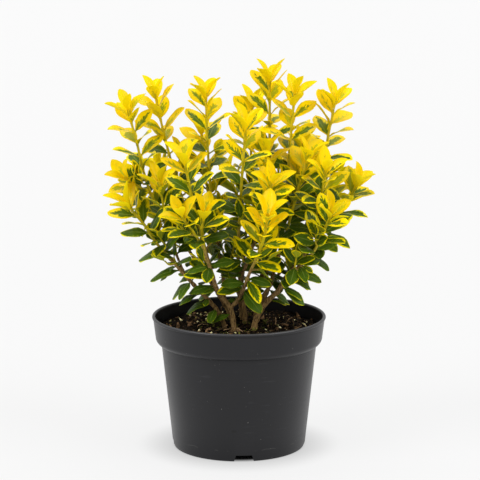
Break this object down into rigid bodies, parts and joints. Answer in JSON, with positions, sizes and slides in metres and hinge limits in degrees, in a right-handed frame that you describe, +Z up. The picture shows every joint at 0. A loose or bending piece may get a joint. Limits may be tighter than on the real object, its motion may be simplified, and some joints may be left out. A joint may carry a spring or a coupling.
{
  "type": "potted euonymus shrub",
  "caption": "Small variegated evergreen shrub with yellow leafy shoots on woody stems, rooted in soil in a round black nursery pot.",
  "frame": {"origin": "middle of the pot's underside, on the surface it stands on", "axes": "+Z up along the pot's axis, -Y to the front as pictured, +X to the viewer's right"},
  "size_m": [0.2613, 0.2276, 0.3778],
  "materials": {
    "pot": "matt black moulded plastic with fine scuffs and dust",
    "soil": "loose dark potting soil with bark chips, rootlets and pale crumbs",
    "bark": "dull grey-brown bark",
    "green_leaf": "glossy dark green leaf with a jagged lime patch and a yellow edge",
    "yellow_leaf": "satin yellow young leaf with a faint lime midrib"
  },
  "bodies": {
    "root": {"pot": "pot", "soil": "soil", "stem_left": "bark", "stem_front": "bark", "stem_right": "bark", "stem_middle": "bark", "stem_back_left": "bark", "stem_back_right": "bark", "stem_rear": "bark", "twig_left_low": "green_leaf", "twig_left_high": "green_leaf", "twig_front_left": "green_leaf", "twig_front_tall": "green_leaf", "twig_front_right": "green_leaf", "twig_right_front": "green_leaf", "twig_right_outer": "green_leaf", "twig_right_inner": "green_leaf", "twig_middle_top": "green_leaf", "twig_middle_right": "green_leaf", "twig_far_left": "green_leaf", "twig_left_tall": "green_leaf", "twig_inner_tall": "green_leaf", "twig_summit": "green_leaf", "twig_right_tall": "green_leaf", "twig_far_right": "green_leaf", "twig_rear_left": "green_leaf", "twig_rear_middle": "green_leaf", "twig_rear_right": "green_leaf", "crown_left_low": "yellow_leaf", "crown_left_high": "yellow_leaf", "crown_front_left": "yellow_leaf", "crown_front_outer": "yellow_leaf", "crown_front_tall": "yellow_leaf", "crown_front_right": "yellow_leaf", "crown_right_front": "yellow_leaf", "crown_right_outer": "yellow_leaf", "crown_right_upper": "yellow_leaf", "crown_right_inner": "yellow_leaf", "crown_middle_top": "yellow_leaf", "crown_middle_right": "yellow_leaf", "crown_middle_back": "yellow_leaf", "crown_far_left": "yellow_leaf", "crown_left_edge": "yellow_leaf", "crown_left_back_edge": "yellow_leaf", "crown_left_tall": "yellow_leaf", "crown_left_back": "yellow_leaf", "crown_inner_tall": "yellow_leaf", "crown_summit": "yellow_leaf", "crown_right_tall": "yellow_leaf", "crown_right_middle": "yellow_leaf", "crown_far_right": "yellow_leaf", "crown_right_edge": "yellow_leaf", "crown_rear_left": "yellow_leaf", "crown_rear_left_low": "yellow_leaf", "crown_rear_tall": "yellow_leaf", "crown_rear_middle": "yellow_leaf", "crown_rear_right": "yellow_leaf", "crown_rear_right_back": "yellow_leaf", "crown_rear_right_low": "yellow_leaf"}
  },
  "joints": []
}
